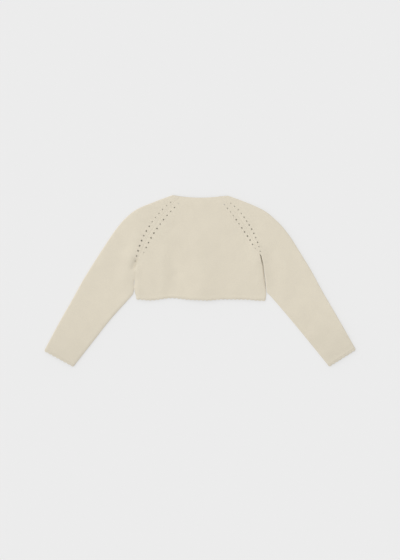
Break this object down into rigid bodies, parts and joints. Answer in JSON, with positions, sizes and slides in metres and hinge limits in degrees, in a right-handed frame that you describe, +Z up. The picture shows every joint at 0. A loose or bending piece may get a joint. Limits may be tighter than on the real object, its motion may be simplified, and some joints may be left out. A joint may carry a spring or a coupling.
{
  "type": "knitted shrug",
  "caption": "Cropped long-sleeved knitted shrug laid flat on its front, with raglan sleeves, rows of eyelets along the raglan seams and scalloped hem and cuffs.",
  "frame": {"origin": "middle of the floor area that the garment covers, on the floor", "axes": "+X towards the garment's right sleeve, +Y towards its neck, +Z up, out of its back"},
  "size_m": [0.7456, 0.4111, 0.0071],
  "materials": {
    "knit": "fine cream knit, matt, with a soft nap",
    "edging": "scalloped edging in the same cream yarn, matt"
  },
  "bodies": {
    "root": {"back": "knit", "front_left": "knit", "front_right": "knit", "sleeve_left": "knit", "sleeve_right": "knit", "hem_edging_back": "edging", "hem_edging_front_left": "edging", "hem_edging_front_right": "edging", "cuff_edging_left": "edging", "cuff_edging_right": "edging"}
  },
  "joints": []
}
